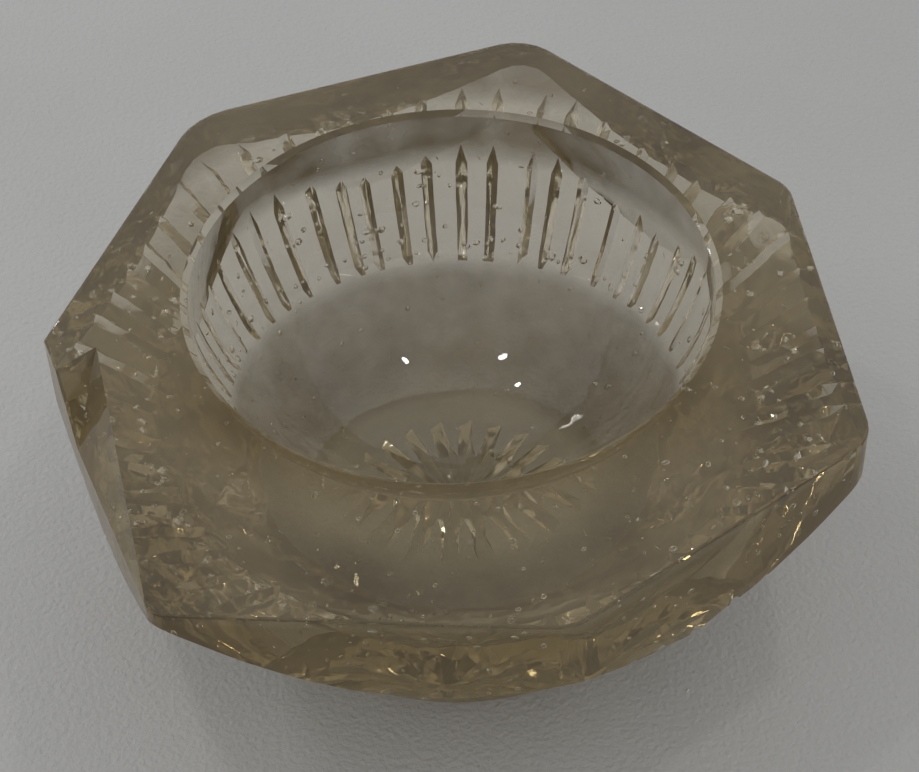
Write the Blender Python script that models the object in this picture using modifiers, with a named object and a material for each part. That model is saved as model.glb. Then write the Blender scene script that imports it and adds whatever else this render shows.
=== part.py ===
"""A small seven-sided dish cut from one block of glass.

A flat-topped block with seven upright side facets is trimmed below to a taper. V grooves run
down the taper to a ring, and a plain rounded underbody runs in from the ring to a flat base.
A round bowl is sunk into the top, a little behind the middle, a tilted flat is ground beside
the left corner, and a star is cut in the base.
The origin is on the surface that the dish stands on, at the middle of its footprint.
"""
import math

import bmesh
import bpy
from mathutils import Matrix, Vector

BOWL_RADIUS = 0.0150
DISH_HEIGHT = 1.30 * BOWL_RADIUS
BOWL_DEPTH = 0.95 * BOWL_RADIUS
BOWL_SETBACK = 0.20 * BOWL_RADIUS
BOWL_STEPS = 72
BOWL_ARC_POINTS = 14

# Each upright corner, clockwise from the left: its distance from the dish's axis and how far
# the corner is cut back along its two facets, both as fractions of the bowl's radius.
FIRST_CORNER_AZIMUTH = math.radians(180.8)
CORNERS = (
    (1.52, 0.13),
    (1.61, 0.13),
    (1.72, 0.12),
    (1.50, 0.05),
    (1.62, 0.09),
    (1.52, 0.06),
    (1.71, 0.05),
)
CORNER_SEGMENTS = 4

# The taper's plan is an ellipse that shrinks downward: half its width, half its length and how
# far its middle lies behind the dish's axis, at the dish's top and at the grooves' feet.
TAPER_TOP = (1.77 * BOWL_RADIUS, 1.82 * BOWL_RADIUS, 0.07 * BOWL_RADIUS)
TAPER_FOOT = (1.18 * BOWL_RADIUS, 1.20 * BOWL_RADIUS, 0.06 * BOWL_RADIUS)
GROOVES = 56
GROOVE_DEPTH = 0.055 * BOWL_RADIUS
GROOVE_HALF_WIDTH = 0.18
GROOVE_START = 0.38 * BOWL_RADIUS
GROOVE_FULL = 0.46 * BOWL_RADIUS
GROOVE_FOOT = 0.80 * BOWL_RADIUS

# The underbody's outline, from the ring down: its radius and its depth below the top.
UNDERBODY = (
    (1.155 * BOWL_RADIUS, 0.825 * BOWL_RADIUS),
    (1.060 * BOWL_RADIUS, 0.980 * BOWL_RADIUS),
    (0.940 * BOWL_RADIUS, 1.130 * BOWL_RADIUS),
    (0.840 * BOWL_RADIUS, 1.250 * BOWL_RADIUS),
    (0.800 * BOWL_RADIUS, 1.285 * BOWL_RADIUS),
)

# The ground flat's upper edge, from its short step at the left corner to the next corner.
GROUND_START = Vector((-1.32 * BOWL_RADIUS, -0.07 * BOWL_RADIUS, DISH_HEIGHT))
GROUND_END = Vector((-1.06 * BOWL_RADIUS, -1.31 * BOWL_RADIUS, DISH_HEIGHT))
GROUND_TILT = math.radians(30)
RUN_OUT_SLOPE = 1.0
WHEEL_LENGTH = 2.0 * BOWL_RADIUS
WHEEL_DEPTH = 0.5 * BOWL_RADIUS

STAR_RAYS = 24
STAR_RADIUS = 0.58 * BOWL_RADIUS
STAR_DEPTH = 0.08 * BOWL_RADIUS
STAR_HUB_RADIUS = 0.04 * BOWL_RADIUS

CUT_MARGIN = 0.10 * BOWL_RADIUS


def clear_scene():
    for item in list(bpy.data.objects):
        bpy.data.objects.remove(item, do_unlink=True)


def new_collection(name):
    collection = bpy.data.collections.new(name)
    bpy.context.scene.collection.children.link(collection)
    return collection


def new_object(name, bm, collection):
    mesh = bpy.data.meshes.new(name)
    bm.to_mesh(mesh)
    bm.free()
    item = bpy.data.objects.new(name, mesh)
    collection.objects.link(item)
    return item


def make_glass():
    material = bpy.data.materials.new("smoky_glass")
    material.use_nodes = True
    shader = material.node_tree.nodes["Principled BSDF"]
    shader.inputs["Base Color"].default_value = (0.48, 0.42, 0.30, 1.0)
    shader.inputs["Metallic"].default_value = 0.0
    shader.inputs["Roughness"].default_value = 0.04
    shader.inputs["IOR"].default_value = 1.52
    shader.inputs["Transmission Weight"].default_value = 1.0
    return material


def make_block(collection):
    """The seven-sided block, with each upright corner cut back by its own amount."""
    bm = bmesh.new()
    middle = Matrix.Translation((0, 0, DISH_HEIGHT / 2))
    bmesh.ops.create_cone(bm, cap_ends=True, segments=len(CORNERS), radius1=BOWL_RADIUS,
                          radius2=BOWL_RADIUS, depth=DISH_HEIGHT, matrix=middle)
    bm.verts.ensure_lookup_table()
    step = 2 * math.pi / len(CORNERS)
    uprights = []
    for place, (radius, cut_back) in enumerate(CORNERS):
        azimuth = FIRST_CORNER_AZIMUTH - place * step
        lower, upper = bm.verts[2 * place], bm.verts[2 * place + 1]
        for vert in (lower, upper):
            vert.co.x = radius * BOWL_RADIUS * math.cos(azimuth)
            vert.co.y = radius * BOWL_RADIUS * math.sin(azimuth)
        uprights.append((bm.edges.get((lower, upper)), cut_back * BOWL_RADIUS))
    for edge, width in uprights:
        bmesh.ops.bevel(bm, geom=[edge], offset=width, offset_type="OFFSET",
                        segments=CORNER_SEGMENTS, profile=0.5, affect="EDGES")
    return new_object("glass_dish", bm, collection)


def footprint_middle(block):
    xs = [vert.co.x for vert in block.data.vertices]
    ys = [vert.co.y for vert in block.data.vertices]
    return (min(xs) + max(xs)) / 2, (min(ys) + max(ys)) / 2


def make_ringed_cutter(name, rings, collection):
    """A closed solid through rings of points, which all have the same count.

    Each ring is extruded from the one before as a plain circle, and every point then goes to
    its own place in its ring. The count is a multiple of four, so that columns fall on the axes.
    """
    columns = len(rings[0])
    bm = bmesh.new()
    bmesh.ops.create_circle(bm, cap_ends=False, segments=columns, radius=1.0)
    ring_verts = set(bm.verts)
    places = []
    for number, ring in enumerate(rings):
        if number:
            edges = [edge for edge in bm.edges if ring_verts.issuperset(edge.verts)]
            grown = bmesh.ops.extrude_edge_only(bm, edges=edges)["geom"]
            ring_verts = {item for item in grown if isinstance(item, bmesh.types.BMVert)}
        for vert in ring_verts:
            turn = math.atan2(vert.co.y, vert.co.x) / (2 * math.pi)
            places.append((vert, ring[round(turn * columns) % columns]))
    for vert, point in places:
        vert.co = point
    bmesh.ops.holes_fill(bm, edges=bm.edges[:], sides=0)
    bmesh.ops.recalc_face_normals(bm, faces=bm.faces[:])
    return new_object(name, bm, collection)


def taper_section(depth):
    """The taper's half width, half length and setback at a depth below the dish's top."""
    share = depth / GROOVE_FOOT
    return [top + (foot - top) * share for top, foot in zip(TAPER_TOP, TAPER_FOOT)]


def make_grooved_taper(collection):
    """Flat slabs with a V groove between each two, above the plain underbody."""
    pitch = 2 * math.pi / GROOVES
    columns = []
    for groove in range(GROOVES):
        for side, cut_share in ((-GROOVE_HALF_WIDTH, 0.0), (0.0, 1.0), (GROOVE_HALF_WIDTH, 0.0)):
            azimuth = (groove + 0.5 + side) * pitch
            columns.append((math.cos(azimuth), math.sin(azimuth), cut_share * GROOVE_DEPTH))
    levels = ((-CUT_MARGIN, 0.0), (GROOVE_START, 0.0), (GROOVE_FULL, 1.0), (GROOVE_FOOT, 1.0))
    rings = []
    for depth, share in levels:
        half_width, half_length, setback = taper_section(depth)
        height = DISH_HEIGHT - depth
        rings.append([((half_width - share * inset) * x, (half_length - share * inset) * y + setback,
                       height) for x, y, inset in columns])
    for radius, depth in UNDERBODY:
        height = DISH_HEIGHT - depth
        setback = TAPER_FOOT[2] * height / (DISH_HEIGHT - GROOVE_FOOT)
        rings.append([(radius * x, radius * y + setback, height) for x, y, inset in columns])
    foot_radius = UNDERBODY[-1][0] - CUT_MARGIN
    rings.append([(foot_radius * x, foot_radius * y, -CUT_MARGIN) for x, y, inset in columns])
    return make_ringed_cutter("grooved_taper", rings, collection)


def make_grinding(collection):
    """The wheel's path for the tilted flat: a leaning block whose inner face is the flat."""
    along = (GROUND_END - GROUND_START).normalized()
    level = Vector((0, 0, 1)).cross(along)
    level *= math.copysign(1.0, level.dot(GROUND_START))
    outward = math.cos(GROUND_TILT) * level + math.sin(GROUND_TILT) * Vector((0, 0, 1))
    downward = along.cross(outward)
    bm = bmesh.new()
    bmesh.ops.create_cube(bm, size=1.0, matrix=Matrix.Translation((0.5, 0.5, 0.0)))
    size = Matrix.Diagonal((WHEEL_LENGTH, WHEEL_DEPTH, WHEEL_LENGTH, 1.0))
    lean = Matrix.Identity(4)
    lean[0][2] = RUN_OUT_SLOPE
    axes = Matrix((along, outward, downward)).transposed().to_4x4()
    bm.transform(Matrix.Translation(GROUND_START) @ axes @ lean @ size)
    return new_object("ground_flat", bm, collection)


def make_star(collection):
    """V grooves that are deepest midway, with ridges that stay just above the base."""
    columns = 2 * STAR_RAYS
    outside = 1.10 * STAR_RADIUS
    profile = (
        ((outside, -CUT_MARGIN), (outside, -CUT_MARGIN)),
        ((outside, -0.50 * STAR_DEPTH), (outside, -0.25 * STAR_DEPTH)),
        ((0.45 * STAR_RADIUS, 0.15 * STAR_DEPTH), (0.60 * STAR_RADIUS, STAR_DEPTH)),
        ((STAR_HUB_RADIUS, 0.50 * STAR_DEPTH), (STAR_HUB_RADIUS, 0.70 * STAR_DEPTH)),
    )
    rings = []
    for ridge_and_valley in profile:
        ring = []
        for column in range(columns):
            radius, height = ridge_and_valley[column % 2]
            azimuth = 2 * math.pi * column / columns
            ring.append((radius * math.cos(azimuth), radius * math.sin(azimuth), height))
        rings.append(ring)
    return make_ringed_cutter("star_cut", rings, collection)


def make_bowl(collection):
    """The turned hollow: half an ellipse, carried straight up past the top."""
    step = math.pi / 2 / (BOWL_ARC_POINTS - 0.5)
    profile = [(0.0, DISH_HEIGHT + CUT_MARGIN), (BOWL_RADIUS, DISH_HEIGHT + CUT_MARGIN)]
    for place in range(BOWL_ARC_POINTS):
        turn = (place - 0.5) * step
        profile.append((BOWL_RADIUS * math.cos(turn), DISH_HEIGHT - BOWL_DEPTH * math.sin(turn)))
    profile.append((0.0, DISH_HEIGHT - BOWL_DEPTH))
    bm = bmesh.new()
    verts = [bm.verts.new((radius, 0.0, height)) for radius, height in profile]
    for upper, lower in zip(verts, verts[1:]):
        bm.edges.new((upper, lower))
    bowl = new_object("bowl_cut", bm, collection)
    bowl.location.y = BOWL_SETBACK
    screw = bowl.modifiers.new("turn", "SCREW")
    screw.steps = BOWL_STEPS
    screw.render_steps = BOWL_STEPS
    screw.use_merge_vertices = True
    screw.merge_threshold = 0.00001
    return bowl


def cut(target, cutter, operation):
    boolean = target.modifiers.new(cutter.name, "BOOLEAN")
    boolean.operation = operation
    boolean.solver = "EXACT"
    boolean.object = cutter
    cutter.hide_render = True
    cutter.display_type = "WIRE"


def main():
    clear_scene()
    parts = new_collection("dappen_dish")
    cutters = new_collection("cutters")

    dish = make_block(parts)
    taper = make_grooved_taper(cutters)
    hollows = (make_grinding(cutters), make_bowl(cutters), make_star(cutters))
    cut(dish, taper, "INTERSECT")
    for hollow in hollows:
        cut(dish, hollow, "DIFFERENCE")

    middle_x, middle_y = footprint_middle(dish)
    plan_centre = bpy.data.objects.new("plan_centre", None)
    parts.objects.link(plan_centre)
    plan_centre.location = (-middle_x, -middle_y, 0.0)
    for item in (dish, taper, *hollows):
        item.parent = plan_centre

    dish.data.materials.append(make_glass())
    dish.data.shade_smooth()
    dish.data.set_sharp_from_angle(angle=math.radians(20))


main()
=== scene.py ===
"""The looks of a small cut-glass dish: its fine mesh, smoky glass, seed bubbles, light and camera.

Lengths that are fractions are fractions of the bowl's radius, and the dish is built about its own
upright axis and then moved to where the frame's box says that it stands.
"""
import math
import random

import bmesh
import bpy
from mathutils import Matrix, Vector


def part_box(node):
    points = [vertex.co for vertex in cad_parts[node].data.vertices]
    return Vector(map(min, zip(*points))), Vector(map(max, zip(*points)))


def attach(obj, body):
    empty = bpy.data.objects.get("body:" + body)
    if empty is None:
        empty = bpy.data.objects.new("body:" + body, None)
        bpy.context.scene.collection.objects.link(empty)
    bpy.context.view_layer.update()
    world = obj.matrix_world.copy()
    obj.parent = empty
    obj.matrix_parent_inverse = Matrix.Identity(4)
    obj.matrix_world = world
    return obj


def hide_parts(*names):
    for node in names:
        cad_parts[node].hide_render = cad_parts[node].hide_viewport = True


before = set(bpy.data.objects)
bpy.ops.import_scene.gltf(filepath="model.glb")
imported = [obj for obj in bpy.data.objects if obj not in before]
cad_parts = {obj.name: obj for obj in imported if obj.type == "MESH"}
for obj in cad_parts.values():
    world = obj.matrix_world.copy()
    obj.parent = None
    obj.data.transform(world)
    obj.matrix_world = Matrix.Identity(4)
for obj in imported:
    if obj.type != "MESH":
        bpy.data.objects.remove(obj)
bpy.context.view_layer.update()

LOW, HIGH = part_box("glass_dish")

# ---- Driving dimensions, as fractions of the bowl's radius ----
HEIGHT = 1.30
RADIUS = (HIGH.z - LOW.z) / HEIGHT
BOWL_DEPTH = 0.95
BOWL_SETBACK = 0.20
BOWL_SEGMENTS = 192
BOWL_ARC_POINTS = 40
RIM_ROUNDING = 0.028
# The rounded lip, from outside in: how far out and how far up, in rim roundings.
LIP = ((1.0, 0.125), (0.35, -0.4))

FIRST_CORNER_AZIMUTH = math.radians(180.8)
CORNERS = (
    (1.52, 0.13),
    (1.61, 0.13),
    (1.72, 0.12),
    (1.50, 0.05),
    (1.62, 0.09),
    (1.52, 0.06),
    (1.71, 0.05),
)
CORNER_SEGMENTS = 4
TOP_EDGE_ROUNDING = 0.010
TOP_EDGE_SEGMENTS = 2
SHARP_ANGLE = math.radians(20)

FLUTES = 56
FLUTE_DEPTH = 0.055
FLUTE_HALF_WIDTH = 0.18
FLUTE_TOP = 0.46
FLUTE_RUN_OUT = 0.08
FLUTE_FOOT = 0.80
FLUTE_UNEVENNESS = 0.20
# The taper's plan is an ellipse that shrinks downward: half its width, half its length and how
# far its middle lies behind the dish's axis, at the top and at the flutes' feet.
TAPER_TOP = (1.77, 1.82, 0.07)
TAPER_FOOT = (1.18, 1.20, 0.06)
UNDERBODY = ((1.155, 0.825), (1.06, 0.98), (0.94, 1.13), (0.84, 1.25), (0.80, 1.285), (0.775, 1.30))
GROUND_START = Vector((-1.32, -0.07, HEIGHT))
GROUND_END = Vector((-1.06, -1.31, HEIGHT))
GROUND_TILT = math.radians(30)
RUN_OUT_SLOPE = 1.0
WHEEL_SIZE = (2.0, 0.5, 2.0)

BUBBLES = 360
BUBBLE_RADIUS = 0.012
BUBBLE_SMALLEST = 0.4
BUBBLE_COVER = 2.5
BUBBLE_STRETCH = 1.6
FLECK_SHARE = 0.45
FLECK_SHAPE = (1.7, 1.3, 0.25)
# Chips are rough bites out of the cutting: how many at each place, and how far each bites.
FOOT_CHIPS = 150
FOOT_CHIP_SPREAD = (-0.05, 0.02)
EDGE_CHIPS = 90
CHIP_RADIUS = 0.028
CHIP_SMALLEST = 0.45
CHIP_SQUASH = (0.5, 1.0)
CHIP_GAP = 1.05
BASE_CHIPS = 22
BASE_CHIP_AZIMUTHS = (math.radians(198), math.radians(342))
BASE_CHIP_STRAY = 0.3
BASE_CHIP_RADIUS = 0.046
BASE_CHIP_REACH = (0.835, 0.860)
BASE_CHIP_HEIGHT = (0.03, 0.05)

STAR_RAYS = 24
STAR_RADIUS = 0.58
STAR_DEPTH = 0.08
STAR_HUB_RADIUS = 0.04
MARGIN = 0.10

random.seed(7)


def new_object(name, bm, smooth=True):
    mesh = bpy.data.meshes.new(name)
    bm.to_mesh(mesh)
    bm.free()
    if smooth:
        mesh.shade_smooth()
    item = bpy.data.objects.new(name, mesh)
    bpy.context.scene.collection.objects.link(item)
    return item


# ---- The dish ----

def make_block():
    """The seven-sided block, with rounded upright corners and a softened top edge."""
    bm = bmesh.new()
    middle = Matrix.Translation((0, 0, HEIGHT / 2))
    bmesh.ops.create_cone(bm, cap_ends=True, segments=len(CORNERS), radius1=1.0, radius2=1.0,
                          depth=HEIGHT, matrix=middle)
    bm.verts.ensure_lookup_table()
    step = 2 * math.pi / len(CORNERS)
    uprights = []
    for place, (radius, cut) in enumerate(CORNERS):
        azimuth = FIRST_CORNER_AZIMUTH - place * step
        pair = bm.verts[2 * place], bm.verts[2 * place + 1]
        for vert in pair:
            vert.co.x = radius * math.cos(azimuth)
            vert.co.y = radius * math.sin(azimuth)
        uprights.append((bm.edges.get(pair), cut))
    for edge, width in uprights:
        bmesh.ops.bevel(bm, geom=[edge], offset=width, offset_type="OFFSET",
                        segments=CORNER_SEGMENTS, profile=0.5, affect="EDGES")
    top_edges = [edge for edge in bm.edges if all(vert.co.z > HEIGHT - 1e-5 for vert in edge.verts)]
    bmesh.ops.bevel(bm, geom=top_edges, offset=TOP_EDGE_ROUNDING, offset_type="OFFSET",
                    segments=TOP_EDGE_SEGMENTS, profile=0.5, affect="EDGES")
    return new_object("glass_block", bm)


def footprint_middle(block):
    xs = [vert.co.x for vert in block.data.vertices]
    ys = [vert.co.y for vert in block.data.vertices]
    return Vector(((min(xs) + max(xs)) / 2, (min(ys) + max(ys)) / 2, 0.0))


def loft(name, rings):
    """A closed solid from rings of points of equal count, given from the top down."""
    bm = bmesh.new()
    rows = [[bm.verts.new(point) for point in ring] for ring in rings]
    count = len(rows[0])
    for upper, lower in zip(rows, rows[1:]):
        for place in range(count):
            after = (place + 1) % count
            bm.faces.new((upper[place], lower[place], lower[after], upper[after]))
    bm.faces.new(rows[0])
    bm.faces.new(reversed(rows[-1]))
    bmesh.ops.recalc_face_normals(bm, faces=bm.faces[:])
    return new_object(name, bm)


def make_taper():
    """A cone with narrow V grooves between flat slabs, above a plain rounded underbody."""
    pitch = 2 * math.pi / FLUTES
    turns, cuts, feet = [], [], []
    for flute in range(FLUTES):
        azimuth = (flute + 0.5 + random.uniform(-1, 1) * FLUTE_UNEVENNESS) * pitch
        depth = FLUTE_DEPTH * (1 + random.uniform(-1, 1) * 2 * FLUTE_UNEVENNESS)
        foot = random.uniform(-1, 1) * FLUTE_UNEVENNESS * FLUTE_DEPTH
        for side, share in ((-FLUTE_HALF_WIDTH, 0.0), (0.0, 1.0), (FLUTE_HALF_WIDTH, 0.0)):
            turns.append(azimuth + side * pitch)
            cuts.append(depth * share)
            feet.append(foot)
    levels = [(-MARGIN, 0.0), (FLUTE_TOP - FLUTE_RUN_OUT, 0.0), (FLUTE_TOP, 1.0),
              ((FLUTE_TOP + FLUTE_FOOT) / 2, 1.0), (FLUTE_FOOT, 1.0)]
    rings = []
    for depth, share in levels:
        along = depth / FLUTE_FOOT
        wide, long, back = (top + (foot - top) * along for top, foot in zip(TAPER_TOP, TAPER_FOOT))
        rings.append([((wide - cut * share) * math.cos(turn),
                       (long - cut * share) * math.sin(turn) + back,
                       HEIGHT - depth - foot * share)
                      for turn, cut, foot in zip(turns, cuts, feet)])
    for radius, depth in UNDERBODY:
        back = TAPER_FOOT[2] * (HEIGHT - depth) / (HEIGHT - FLUTE_FOOT)
        below = MARGIN if depth == HEIGHT else 0.0
        rings.append([((radius - below) * math.cos(turn), (radius - below) * math.sin(turn) + back,
                       HEIGHT - depth - below) for turn in turns])
    return loft("taper_cut", rings)


def make_grinding():
    """The wheel's path for the tilted flat: a leaning block whose inner face is the flat."""
    along = (GROUND_END - GROUND_START).normalized()
    level = along.cross(Vector((0, 0, 1)))
    if level.dot(GROUND_START) < 0:
        level = -level
    outward = math.cos(GROUND_TILT) * level + math.sin(GROUND_TILT) * Vector((0, 0, 1))
    outward.normalize()
    downward = along.cross(outward)
    bm = bmesh.new()
    bmesh.ops.create_cube(bm, size=1.0, matrix=Matrix.Translation((0.5, 0.5, 0.0)))
    turn = Matrix((along, outward, downward)).transposed().to_4x4()
    lean = Matrix.Identity(4)
    lean[0][2] = RUN_OUT_SLOPE
    shape = lean @ Matrix.Diagonal((*WHEEL_SIZE, 1.0))
    bm.transform(Matrix.Translation(GROUND_START) @ turn @ shape)
    return new_object("grinding_cut", bm)


def make_bowl():
    """Half an ellipse turned about the bowl's axis, opening to a rounded lip."""
    step = math.pi / 2 / (BOWL_ARC_POINTS - 0.5)
    lip = RIM_ROUNDING
    profile = [(1.0 + lip, HEIGHT + MARGIN)]
    profile += [(1.0 + out * lip, HEIGHT + rise * lip) for out, rise in LIP]
    for place in range(1, BOWL_ARC_POINTS):
        turn = (place - 0.5) * step
        profile.append((math.cos(turn), HEIGHT - BOWL_DEPTH * math.sin(turn)))
    turns = [2 * math.pi * place / BOWL_SEGMENTS for place in range(BOWL_SEGMENTS)]
    rings = [[(radius * math.cos(turn), radius * math.sin(turn) + BOWL_SETBACK, height)
              for turn in turns] for radius, height in profile]
    return loft("bowl_cut", rings)


def make_star():
    """V grooves that rise from the base's face and run in to a small hub."""
    columns = 2 * STAR_RAYS
    turns = [2 * math.pi * place / columns for place in range(columns)]
    outside = 1.10 * STAR_RADIUS
    rings = []
    for ridge, ridge_height, valley, valley_height in (
            (STAR_HUB_RADIUS, 0.50 * STAR_DEPTH, STAR_HUB_RADIUS, 0.70 * STAR_DEPTH),
            (0.45 * STAR_RADIUS, 0.15 * STAR_DEPTH, 0.60 * STAR_RADIUS, STAR_DEPTH),
            (outside, -0.50 * STAR_DEPTH, outside, -0.25 * STAR_DEPTH),
            (outside, -MARGIN, outside, -MARGIN)):
        ring = []
        for place, turn in enumerate(turns):
            radius, height = (valley, valley_height) if place % 2 else (ridge, ridge_height)
            ring.append((radius * math.cos(turn), radius * math.sin(turn), height))
        rings.append(ring)
    return loft("star_cut", rings)


def taper_point(depth, azimuth):
    """A point on the taper's straight run."""
    share = depth / FLUTE_FOOT
    half_width, half_length, setback = (top + share * (foot - top)
                                        for top, foot in zip(TAPER_TOP, TAPER_FOOT))
    return Vector((half_width * math.cos(azimuth), half_length * math.sin(azimuth) + setback,
                   HEIGHT - depth))


def random_turn(steadiness):
    """A turn of up to half a circle about a random axis, nearer upright as steadiness grows."""
    angle = random.uniform(0, math.pi)
    return Matrix.Rotation(angle, 4, Vector((random.random(), random.random(), steadiness)))


def make_chips():
    """Small angular bites at the flutes' feet, on their edges and along the front of the base."""
    places = []
    for chip in range(FOOT_CHIPS):
        depth = FLUTE_FOOT + random.uniform(*FOOT_CHIP_SPREAD)
        places.append((taper_point(depth, random.uniform(0, 2 * math.pi)), CHIP_RADIUS, 1))
    for chip in range(EDGE_CHIPS):
        depth = random.uniform(FLUTE_TOP, FLUTE_FOOT)
        places.append((taper_point(depth, random.uniform(0, 2 * math.pi)), CHIP_RADIUS, 1))
    first, last = BASE_CHIP_AZIMUTHS
    for chip in range(BASE_CHIPS):
        stray = random.uniform(-BASE_CHIP_STRAY, BASE_CHIP_STRAY)
        azimuth = first + (last - first) * (chip + stray) / BASE_CHIPS
        out = random.uniform(*BASE_CHIP_REACH)
        point = Vector((out * math.cos(azimuth), out * math.sin(azimuth),
                        random.uniform(*BASE_CHIP_HEIGHT)))
        places.append((point, BASE_CHIP_RADIUS, 2))
    bm = bmesh.new()
    kept = []
    for point, largest, fineness in places:
        radius = largest * random.uniform(CHIP_SMALLEST, 1.0)
        if any((point - other).length < CHIP_GAP * (radius + reach) for other, reach in kept):
            continue
        kept.append((point, radius))
        squash = (random.uniform(*CHIP_SQUASH), random.uniform(*CHIP_SQUASH), 1.0, 1.0)
        turn = random_turn(0.5)
        spot = Matrix.Translation(point) @ turn @ Matrix.Diagonal(squash)
        bmesh.ops.create_icosphere(bm, subdivisions=fineness, radius=radius, matrix=spot)
    return new_object("chip_cut", bm)


def cut(target, cutter, operation):
    boolean = target.modifiers.new(cutter.name, "BOOLEAN")
    boolean.operation = operation
    boolean.solver = "EXACT"
    boolean.object = cutter


def apply_modifiers(item):
    graph = bpy.context.evaluated_depsgraph_get()
    mesh = bpy.data.meshes.new_from_object(item.evaluated_get(graph))
    item.modifiers.clear()
    item.data = mesh


def split_to_triangles(mesh):
    """Triangles only, without the folded pairs that form where two faces share a bent edge."""
    bm = bmesh.new()
    bm.from_mesh(mesh)
    bmesh.ops.triangulate(bm, faces=bm.faces[:])
    bm.verts.index_update()
    twins = {}
    for face in bm.faces:
        twins.setdefault(frozenset(vert.index for vert in face.verts), []).append(face)
    folded = [face for faces in twins.values() if len(faces) > 1 for face in faces]
    bmesh.ops.delete(bm, geom=folded, context="FACES")
    bm.to_mesh(mesh)
    bm.free()


def make_dish():
    dish = make_block()
    middle = footprint_middle(dish)
    cutters = (make_taper(), make_grinding(), make_bowl(), make_star(), make_chips())
    for cutter, operation in zip(cutters, ("INTERSECT",) + 4 * ("DIFFERENCE",)):
        cut(dish, cutter, operation)
    apply_modifiers(dish)
    split_to_triangles(dish.data)
    for cutter in cutters:
        bpy.data.objects.remove(cutter, do_unlink=True)
    place = Matrix.Translation(((LOW.x + HIGH.x) / 2, (LOW.y + HIGH.y) / 2, LOW.z))
    place = place @ Matrix.Scale(RADIUS, 4) @ Matrix.Translation(-middle)
    dish.data.transform(place)
    dish.data.shade_smooth()
    dish.data.set_sharp_from_angle(angle=SHARP_ANGLE)
    dish.name = "cut_glass_dish"
    return dish, place


def make_bubbles(dish):
    """Seed bubbles and flat flecks: drawn-out or flattened spheres inside the glass.

    The test trusts the nearest face's normal, and at a sharp edge that face can be the wrong one
    of two. So a few bubbles are outside the glass, and some can differ from run to run.
    """
    bm = bmesh.new()
    made = 0
    while made < BUBBLES:
        radius = RADIUS * BUBBLE_RADIUS * random.uniform(BUBBLE_SMALLEST, 1.0) ** 2
        point = Vector([random.uniform(low, high) for low, high in zip(LOW, HIGH)])
        near, normal = dish.closest_point_on_mesh(point)[1:3]
        if (near - point).dot(normal) < BUBBLE_COVER * radius:
            continue
        if random.random() < FLECK_SHARE:
            shape = FLECK_SHAPE
        else:
            shape = (1.0, 1.0, random.uniform(1.0, BUBBLE_STRETCH))
        turn = random_turn(1)
        spot = Matrix.Translation(point) @ turn @ Matrix.Diagonal((*shape, 1.0))
        bmesh.ops.create_icosphere(bm, subdivisions=2, radius=radius, matrix=spot)
        made += 1
    return new_object("seed_bubbles", bm)


# ---- Materials ----

GLASS_IOR = 1.52
ABSORPTION_COLOUR = (0.63, 0.50, 0.12, 1.0)
ABSORPTION_DENSITY = 0.60
FILM_COLOUR = (0.72, 0.61, 0.40, 1.0)
# Painted shade: the film turns this dark brown low on the body, on the band above the flutes (most
# at the back) and at the front rim.
PAINTED_SHADE_FILM_COLOUR = (0.28, 0.21, 0.10, 1.0)
WAVE_DEPTH = 0.003
FLOOR_TONES = ((0.525, 0.525, 0.520, 1.0), (0.570, 0.570, 0.566, 1.0))
FLOOR_TOOTH = 0.003

# Each noise: how many lumps to the bowl's radius, its detail, and its lowest and highest value.
HAZE_NOISE = (1.8, 5, 0.06, 0.17)
# The next noise thickens the dark film of painted shade and wear in patches.
SHADE_AND_WEAR_HAZE_NOISE = (6, 4, 0.34, 0.54)
ROUGHNESS_NOISE = (14, 3, 0.0, 0.02)
WAVE_NOISE = (3.5, 2, 0.0, 1.0)
FLOOR_TONE_NOISE = (0.5, 6, 0.0, 1.0)
FLOOR_ROUGHNESS_NOISE = (9, 3, 0.52, 0.68)
FLOOR_TOOTH_NOISE = (40, 2, 0.0, 1.0)
NOISE_SPREAD = (0.30, 0.70)

# Where the film is thickened by wear and darkened as painted shade, as the heights above the base,
# the distances from the dish's axis or from the bowl's, and the places along Y where it starts and
# where it is full.
UNDERBODY_HEIGHTS = (0.50, 0.42)
UNDERBODY_REACH = (0.62, 0.82)
BAND_FOOT = (0.84, 0.95)
BAND_HEAD = (1.285, 1.25)
BAND_REACH = (1.26, 1.42)
BAND_BACK = (0.3, 1.1)
BAND_SHARES = (0.40, 1.5)
RIM_REACH = (1.45, 1.08)
RIM_FRONT = (0.2, -0.6)
RIM_HEIGHTS = (1.275, 1.295)
RIM_SHARE = 0.55


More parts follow.
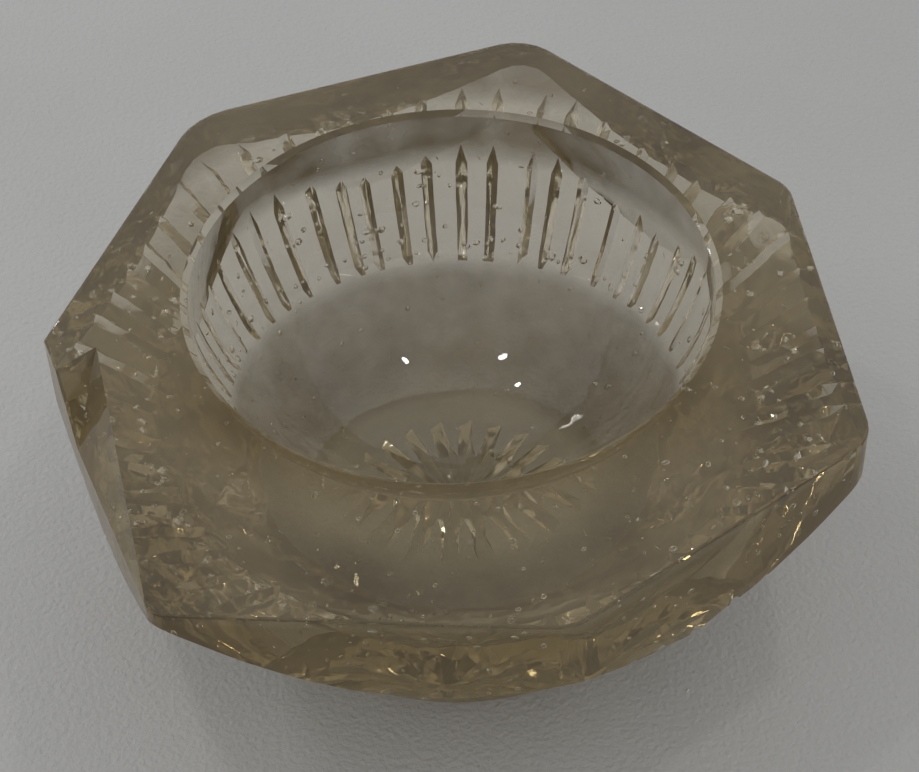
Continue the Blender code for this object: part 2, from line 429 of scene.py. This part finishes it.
class Graph:
    """A new material's nodes, with short ways to add the ones used here."""

    def __init__(self, name):
        self.material = bpy.data.materials.new(name)
        self.material.use_nodes = True
        self.nodes = self.material.node_tree.nodes
        self.nodes.clear()
        self.output = self.add("OutputMaterial")
        self.place = self.add("TexCoord").outputs["Object"]

    def add(self, kind, **inputs):
        """Add a node and fill its inputs, with a link where the value is another node's output."""
        node = self.nodes.new("ShaderNode" + kind)
        for name, value in inputs.items():
            self.fill(node.inputs[name.replace("_", " ")], value)
        return node

    def fill(self, socket, value):
        if isinstance(value, bpy.types.NodeSocket):
            self.material.node_tree.links.new(value, socket)
        else:
            socket.default_value = value

    def ramp(self, value, start, end, low=0.0, high=1.0):
        """Go from low to high as value goes from start to end."""
        node = self.add("MapRange", Value=value, From_Min=start, From_Max=end,
                        To_Min=low, To_Max=high)
        return node.outputs["Result"]

    def noise(self, scale, detail, low, high):
        """A smooth random value between low and high."""
        texture = self.add("TexNoise", Vector=self.place, Scale=scale / RADIUS, Detail=detail)
        return self.ramp(texture.outputs["Fac"], *NOISE_SPREAD, low, high)

    def maths(self, operation, first, second, kind="Math"):
        node = self.add(kind)
        node.operation = operation
        self.fill(node.inputs[0], first)
        self.fill(node.inputs[1], second)
        return node.outputs

    def product(self, first, *others):
        for other in others:
            first = self.maths("MULTIPLY", first, other)["Value"]
        return first

    def largest(self, first, second):
        return self.maths("MAXIMUM", first, second)["Value"]

    def vector(self, operation, first, second=(0.0, 0.0, 0.0)):
        return self.maths(operation, first, second, "VectorMath")

    def blend(self, share, first, second):
        """A colour between two, by share."""
        node = self.add("Mix")
        node.data_type = "RGBA"
        for name, value in (("Factor", share), ("A", first), ("B", second)):
            self.fill(node.inputs[name], value)
        return node.outputs["Result"]

    def bumps(self, distance, height):
        return self.add("Bump", Distance=distance * RADIUS, Height=height).outputs["Normal"]


def bubble_air():
    """Air inside glass: light bends outward on its way in."""
    graph = Graph("bubble_air")
    air = graph.add("BsdfGlass", IOR=1 / GLASS_IOR, Roughness=0.0)
    graph.fill(graph.output.inputs["Surface"], air.outputs["BSDF"])
    return graph.material


def wear_and_painted_shade(graph):
    """Where the film is thickened by wear and darkened as painted shade: the plain bands above and
    below the flutes, and the front rim.
    """
    def fade(value, ends, low=0.0, high=1.0):
        return graph.ramp(value, ends[0] * RADIUS, ends[1] * RADIUS, low, high)

    middle = ((LOW.x + HIGH.x) / 2, (LOW.y + HIGH.y) / 2, LOW.z)
    offset = graph.vector("SUBTRACT", graph.place, middle)["Vector"]
    parts = graph.add("SeparateXYZ", Vector=offset).outputs
    level = graph.vector("MULTIPLY", offset, (1.0, 1.0, 0.0))["Vector"]
    reach = graph.vector("LENGTH", level)["Value"]
    bowl_offset = graph.vector("SUBTRACT", level, (0.0, BOWL_SETBACK * RADIUS, 0.0))["Vector"]
    bowl_reach = graph.vector("LENGTH", bowl_offset)["Value"]
    # Painted shade low on the plain underbody near the base: the dark film stands in for the shade
    # under the dish.
    under = graph.product(fade(parts["Z"], UNDERBODY_HEIGHTS), fade(reach, UNDERBODY_REACH))
    # Painted shade on the plain band above the flutes, heavier towards the back.
    band = graph.product(fade(parts["Z"], BAND_FOOT), fade(parts["Z"], BAND_HEAD),
                         fade(reach, BAND_REACH), fade(parts["Y"], BAND_BACK, *BAND_SHARES))
    # Rubbing at the front rim, whose film is also dark as painted shade.
    rim = graph.product(fade(bowl_reach, RIM_REACH), fade(parts["Y"], RIM_FRONT),
                        fade(parts["Z"], RIM_HEIGHTS), RIM_SHARE)
    return graph.largest(graph.largest(under, band), rim)


def smoky_glass():
    """Clear brown glass, slightly wavy, under a thin uneven film of haze, thicker and darkened as
    painted shade in places.
    """
    graph = Graph("smoky_glass_fine")
    waves = graph.bumps(WAVE_DEPTH, graph.noise(*WAVE_NOISE))
    shade_and_wear = wear_and_painted_shade(graph)
    glass = graph.add("BsdfPrincipled", Base_Color=(1.0, 1.0, 1.0, 1.0), Transmission_Weight=1.0,
                      IOR=GLASS_IOR, Roughness=graph.noise(*ROUGHNESS_NOISE), Normal=waves)
    # Painted shade: the film's colour goes to the dark shade colour where the mask is strong.
    tone = graph.blend(graph.product(shade_and_wear, 2.0), FILM_COLOUR, PAINTED_SHADE_FILM_COLOUR)
    film = graph.add("BsdfDiffuse", Color=tone, Normal=waves)
    patches = graph.product(shade_and_wear, graph.noise(*SHADE_AND_WEAR_HAZE_NOISE))
    haze = graph.maths("ADD", patches, graph.noise(*HAZE_NOISE))["Value"]
    surface = graph.add("MixShader", Fac=haze)
    graph.fill(surface.inputs[1], glass.outputs["BSDF"])
    graph.fill(surface.inputs[2], film.outputs["BSDF"])
    tint = graph.add("VolumeAbsorption", Color=ABSORPTION_COLOUR,
                     Density=ABSORPTION_DENSITY / RADIUS)
    graph.fill(graph.output.inputs["Surface"], surface.outputs["Shader"])
    graph.fill(graph.output.inputs["Volume"], tint.outputs["Volume"])
    return graph.material


def pale_floor():
    """Matt card: a faint mottle in its tone, its sheen and its surface."""
    graph = Graph("pale_floor")
    tone = graph.blend(graph.noise(*FLOOR_TONE_NOISE), *FLOOR_TONES)
    sheen = graph.noise(*FLOOR_ROUGHNESS_NOISE)
    tooth = graph.bumps(FLOOR_TOOTH, graph.noise(*FLOOR_TOOTH_NOISE))
    card = graph.add("BsdfPrincipled", Base_Color=tone, Roughness=sheen, Normal=tooth)
    graph.fill(graph.output.inputs["Surface"], card.outputs["BSDF"])
    return graph.material


# ---- Stage, light and camera ----

CAMERA_ELEVATION = math.radians(43.44)
CAMERA_DISTANCE = 9.0
CAMERA_ROLL = math.radians(-2.17)
CAMERA_AIM = Vector((0.018, 0.0, -0.565))
CAMERA_LENS = 93.2
SENSOR_WIDTH = 36.0
CLIP_START = 0.001

# Each lamp: its place from the middle of the bowl's mouth, its width and its power.
LAMPS = {
    "lamp_left": ((-4.3, -0.5, 12), 0.85, 70),
    "lamp_right": ((4.1, -0.2, 12), 0.80, 70),
    "lamp_far": ((-5.5, 3.8, 12), 0.60, 50),
    "lamp_side": ((-9.8, 11.2, 7.2), 2.8, 230),
}
ROOM_STRENGTH = 0.53
FLOOR_SIZE = 30
FLOOR_GAP = 0.002


def make_camera(bowl_centre):
    """A long lens that looks down at the dish from the front."""
    camera = bpy.data.objects.new("camera", bpy.data.cameras.new("camera"))
    bpy.context.scene.collection.objects.link(camera)
    rise = Vector((0.0, -math.cos(CAMERA_ELEVATION), math.sin(CAMERA_ELEVATION)))
    position = CAMERA_DISTANCE * rise
    ahead = (CAMERA_AIM - position).normalized()
    turn = ahead.to_track_quat("-Z", "Y").to_matrix().to_4x4()
    turn = turn @ Matrix.Rotation(CAMERA_ROLL, 4, "Z")
    camera.matrix_world = Matrix.Translation(bowl_centre + RADIUS * position) @ turn
    camera.data.sensor_width = SENSOR_WIDTH
    camera.data.lens = CAMERA_LENS
    camera.data.clip_start = CLIP_START
    bpy.context.scene.camera = camera


def make_lamp(name, centre, offset, size, power):
    lamp = bpy.data.lights.new(name, "AREA")
    lamp.shape = "DISK"
    lamp.size = size * RADIUS
    lamp.energy = power * RADIUS ** 2
    item = bpy.data.objects.new(name, lamp)
    bpy.context.scene.collection.objects.link(item)
    item.location = centre + RADIUS * Vector(offset)
    item.rotation_euler = (-Vector(offset)).to_track_quat("-Z", "Y").to_euler()


def make_stage(bowl_centre):
    bm = bmesh.new()
    bmesh.ops.create_grid(bm, x_segments=1, y_segments=1, size=FLOOR_SIZE * RADIUS)
    floor = new_object("floor", bm, smooth=False)
    floor.location.z = LOW.z - FLOOR_GAP * RADIUS
    floor.data.materials.append(pale_floor())
    world = bpy.data.worlds.new("soft_room")
    world.use_nodes = True
    world.node_tree.nodes["Background"].inputs["Color"].default_value = (1.0, 1.0, 1.0, 1.0)
    world.node_tree.nodes["Background"].inputs["Strength"].default_value = ROOM_STRENGTH
    bpy.context.scene.world = world
    for name, (offset, size, power) in LAMPS.items():
        make_lamp(name, bowl_centre, offset, size, power)


dish, place = make_dish()
dish.data.materials.clear()
dish.data.materials.append(smoky_glass())
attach(dish, "root")
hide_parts("glass_dish")
bubbles = make_bubbles(dish)
bubbles.data.materials.append(bubble_air())
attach(bubbles, "root")
bowl_centre = place @ Vector((0.0, BOWL_SETBACK, HEIGHT))
make_stage(bowl_centre)
make_camera(bowl_centre)
bpy.context.scene.view_settings.view_transform = "Standard"
